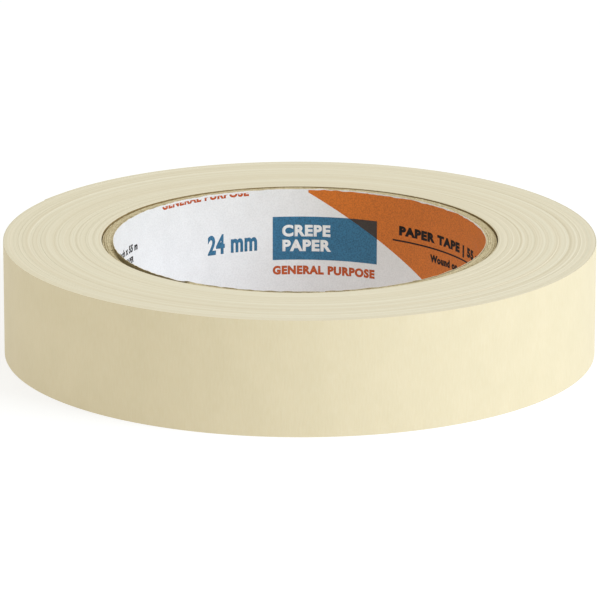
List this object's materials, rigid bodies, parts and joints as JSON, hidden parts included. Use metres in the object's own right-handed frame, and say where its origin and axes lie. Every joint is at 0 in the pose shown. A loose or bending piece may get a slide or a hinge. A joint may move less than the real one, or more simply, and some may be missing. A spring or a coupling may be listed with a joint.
{
  "type": "masking tape roll",
  "caption": "Roll of crepe paper masking tape on a spiral-wound paper core with a printed liner, lying on its side face, with a free end that peels outwards.",
  "frame": {"origin": "centre of the roll's lower side face, on the surface it lies on", "axes": "+Z along the roll's axis, from the lower side face to the upper one; +Y towards the back, and the tape's free end is at the back left"},
  "size_m": [0.1228, 0.1229, 0.024],
  "materials": {
    "crepe_paper": "satin",
    "printed_paper": "satin",
    "core_board": "matte"
  },
  "bodies": {
    "roll": {"core_liner": "printed_paper", "core_ply_1": "core_board", "core_ply_2": "core_board", "core_ply_3": "core_board", "core_ply_4": "core_board", "core_ply_5": "core_board", "core_wrap": "core_board", "tape_winding": "crepe_paper", "tape_last_turn": "crepe_paper"},
    "tape_end": {"tape_free_end": "crepe_paper"}
  },
  "joints": [
    {"name": "tape_end_peel", "type": "hinge", "parent": "roll", "child": "tape_end", "pos_m": [-0.03256, 0.0521, 0.012], "axis": [0, 0, -1], "range_deg": [0, 110]}
  ]
}
